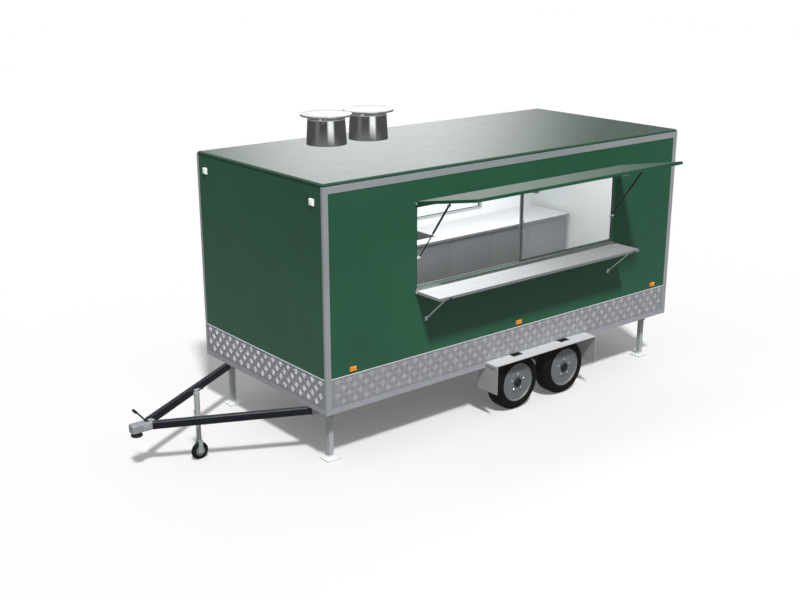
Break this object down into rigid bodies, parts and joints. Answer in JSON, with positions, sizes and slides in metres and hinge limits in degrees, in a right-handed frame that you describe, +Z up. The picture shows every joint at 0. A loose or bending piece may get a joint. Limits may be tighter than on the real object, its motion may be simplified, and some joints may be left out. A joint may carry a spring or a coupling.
{
  "type": "military field kitchen trailer",
  "caption": "Tandem-axle field kitchen trailer: green box body, propped serving hatch, counter, roof flues, A-frame drawbar, jockey wheel and fold-up corner legs.",
  "frame": {"origin": "centre of the tow ball in the coupling head", "axes": "+X forward along the drawbar, +Y to the left, the serving side, +Z up"},
  "size_m": [6.48, 3.2227, 3.082],
  "materials": {
    "green_panel": "gloss",
    "phenolic_ply": "satin",
    "aluminium_trim": "satin",
    "tread_plate": "satin",
    "frame_steel": "satin",
    "black_steel": "satin",
    "cast_head": "satin",
    "zinc_steel": "satin",
    "mudguard_steel": "satin",
    "stainless": "satin",
    "stainless_bright": "polished",
    "wheel_paint": "satin",
    "tyre_rubber": "matte",
    "leg_steel": "satin",
    "dark_frame": "satin",
    "clear_glass": "polished",
    "black_strut": "gloss",
    "white_lens": "gloss",
    "amber_lens": "gloss",
    "red_lens": "gloss"
  },
  "bodies": {
    "trailer": {"axles": "black_steel", "chassis_frame": "frame_steel", "cooking_range": "stainless", "corner_trims": "aluminium_trim", "coupling_lever": "black_steel", "coupling_socket": "black_steel", "exhaust_flues": "stainless_bright", "floor_panel": "phenolic_ply", "front_marker_lamps": "white_lens", "front_wall": "green_panel", "hinge_rails": "aluminium_trim", "jockey_outer_tube": "zinc_steel", "kitchen_bench": "stainless", "leaf_springs": "black_steel", "left_drawbar_arm": "black_steel", "left_wall": "green_panel", "main_rails": "frame_steel", "mudguards": "mudguard_steel", "range_hood": "stainless", "rear_door_hinges": "zinc_steel", "rear_lamps": "red_lens", "rear_wall": "green_panel", "right_drawbar_arm": "black_steel", "right_wall": "green_panel", "roof_panel": "green_panel", "roof_side_rails": "aluminium_trim", "side_marker_lamps": "amber_lens", "tow_coupling": "cast_head", "tread_plate_skirt": "tread_plate", "wall_brackets": "aluminium_trim", "window_frames": "dark_frame", "window_glass": "clear_glass"},
    "front_left_road_wheel": {"front_left_wheel": "wheel_paint", "front_left_tyre": "tyre_rubber"},
    "front_right_road_wheel": {"front_right_wheel": "wheel_paint", "front_right_tyre": "tyre_rubber"},
    "rear_left_road_wheel": {"rear_left_wheel": "wheel_paint", "rear_left_tyre": "tyre_rubber"},
    "rear_right_road_wheel": {"rear_right_wheel": "wheel_paint", "rear_right_tyre": "tyre_rubber"},
    "jockey_inner": {"jockey_leg": "zinc_steel"},
    "jockey_caster": {"jockey_fork": "zinc_steel"},
    "jockey_wheel": {"jockey_wheel_hub": "zinc_steel", "jockey_tyre": "tyre_rubber"},
    "front_left_corner_leg": {"front_left_leg": "leg_steel"},
    "front_right_corner_leg": {"front_right_leg": "leg_steel"},
    "rear_left_corner_leg": {"rear_left_leg": "leg_steel"},
    "rear_right_corner_leg": {"rear_right_leg": "leg_steel"},
    "hatch": {"serving_hatch": "green_panel"},
    "front_strut_barrel": {"front_strut_cylinder": "black_strut"},
    "front_strut_shaft": {"front_strut_rod": "black_strut"},
    "rear_strut_barrel": {"rear_strut_cylinder": "black_strut"},
    "rear_strut_shaft": {"rear_strut_rod": "black_strut"},
    "counter": {"serving_counter": "stainless"},
    "front_stay": {"front_counter_stay": "aluminium_trim"},
    "rear_stay": {"rear_counter_stay": "aluminium_trim"},
    "door": {"rear_door": "green_panel", "rear_door_handle": "zinc_steel"}
  },
  "joints": [
    {"name": "front_left_wheel_spin", "type": "hinge", "parent": "trailer", "child": "front_left_road_wheel", "pos_m": [-3.855, 1.0775, -0.1125], "axis": [0, 1, 0], "continuous": true},
    {"name": "front_right_wheel_spin", "type": "hinge", "parent": "trailer", "child": "front_right_road_wheel", "pos_m": [-3.855, -1.0775, -0.1125], "axis": [0, 1, 0], "continuous": true},
    {"name": "rear_left_wheel_spin", "type": "hinge", "parent": "trailer", "child": "rear_left_road_wheel", "pos_m": [-4.575, 1.0775, -0.1125], "axis": [0, 1, 0], "continuous": true},
    {"name": "rear_right_wheel_spin", "type": "hinge", "parent": "trailer", "child": "rear_right_road_wheel", "pos_m": [-4.575, -1.0775, -0.1125], "axis": [0, 1, 0], "continuous": true},
    {"name": "jockey_wind", "type": "slide", "parent": "trailer", "child": "jockey_inner", "axis": [0, 0, 1], "range_m": [0, 0.19]},
    {"name": "jockey_swivel", "type": "hinge", "parent": "jockey_inner", "child": "jockey_caster", "pos_m": [-0.595, 0.1, -0.226], "axis": [0, 0, 1], "continuous": true},
    {"name": "jockey_wheel_spin", "type": "hinge", "parent": "jockey_caster", "child": "jockey_wheel", "pos_m": [-0.595, 0.1, -0.333], "axis": [0, 1, 0], "continuous": true},
    {"name": "front_left_leg_fold", "type": "hinge", "parent": "trailer", "child": "front_left_corner_leg", "pos_m": [-1.575, 0.9, 0.05], "axis": [0, 1, 0], "range_deg": [0, 90]},
    {"name": "front_right_leg_fold", "type": "hinge", "parent": "trailer", "child": "front_right_corner_leg", "pos_m": [-1.575, -0.9, 0.05], "axis": [0, 1, 0], "range_deg": [0, 90]},
    {"name": "rear_left_leg_fold", "type": "hinge", "parent": "trailer", "child": "rear_left_corner_leg", "pos_m": [-6.195, 0.9, 0.05], "axis": [0, -1, 0], "range_deg": [0, 90]},
    {"name": "rear_right_leg_fold", "type": "hinge", "parent": "trailer", "child": "rear_right_corner_leg", "pos_m": [-6.195, -0.9, 0.05], "axis": [0, -1, 0], "range_deg": [0, 90]},
    {"name": "hatch_hinge", "type": "hinge", "parent": "trailer", "child": "hatch", "pos_m": [-3.933, 1.112, 2.017], "axis": [-1, 0, 0], "range_deg": [0, 101]},
    {"name": "front_strut_pivot", "type": "hinge", "parent": "hatch", "child": "front_strut_barrel", "pos_m": [-2.545, 1.49445, 2.05671], "axis": [1, 0, 0], "range_deg": [0, 138]},
    {"name": "front_strut_stroke", "type": "slide", "parent": "front_strut_barrel", "child": "front_strut_shaft", "axis": [0, 0.5821, 0.8131], "range_m": [0, 0.331]},
    {"name": "rear_strut_pivot", "type": "hinge", "parent": "hatch", "child": "rear_strut_barrel", "pos_m": [-5.321, 1.49445, 2.05671], "axis": [1, 0, 0], "range_deg": [0, 138]},
    {"name": "rear_strut_stroke", "type": "slide", "parent": "rear_strut_barrel", "child": "rear_strut_shaft", "axis": [0, 0.5821, 0.8131], "range_m": [0, 0.331]},
    {"name": "counter_fold", "type": "hinge", "parent": "trailer", "child": "counter", "pos_m": [-3.933, 1.118, 1.141], "axis": [-1, 0, 0], "range_deg": [0, 90]},
    {"name": "front_stay_pivot", "type": "hinge", "parent": "counter", "child": "front_stay", "pos_m": [-2.618, 1.419, 1.14], "axis": [1, 0, 0], "range_deg": [0, 139]},
    {"name": "rear_stay_pivot", "type": "hinge", "parent": "counter", "child": "rear_stay", "pos_m": [-5.296, 1.419, 1.14], "axis": [1, 0, 0], "range_deg": [0, 139]},
    {"name": "rear_door_hinge", "type": "hinge", "parent": "trailer", "child": "door", "pos_m": [-6.379, 0.968, 1.17], "axis": [0, 0, -1], "range_deg": [0, 110]}
  ],
  "couplings": [
    {"joint": "front_strut_pivot", "follows": "hatch_hinge", "ratio": 1.3525},
    {"joint": "front_strut_stroke", "follows": "hatch_hinge", "m_per_rad": 0.1872},
    {"joint": "rear_strut_pivot", "follows": "hatch_hinge", "ratio": 1.3525},
    {"joint": "rear_strut_stroke", "follows": "hatch_hinge", "m_per_rad": 0.1872},
    {"joint": "front_stay_pivot", "follows": "counter_fold", "ratio": 1.5257},
    {"joint": "rear_stay_pivot", "follows": "counter_fold", "ratio": 1.5257}
  ]
}
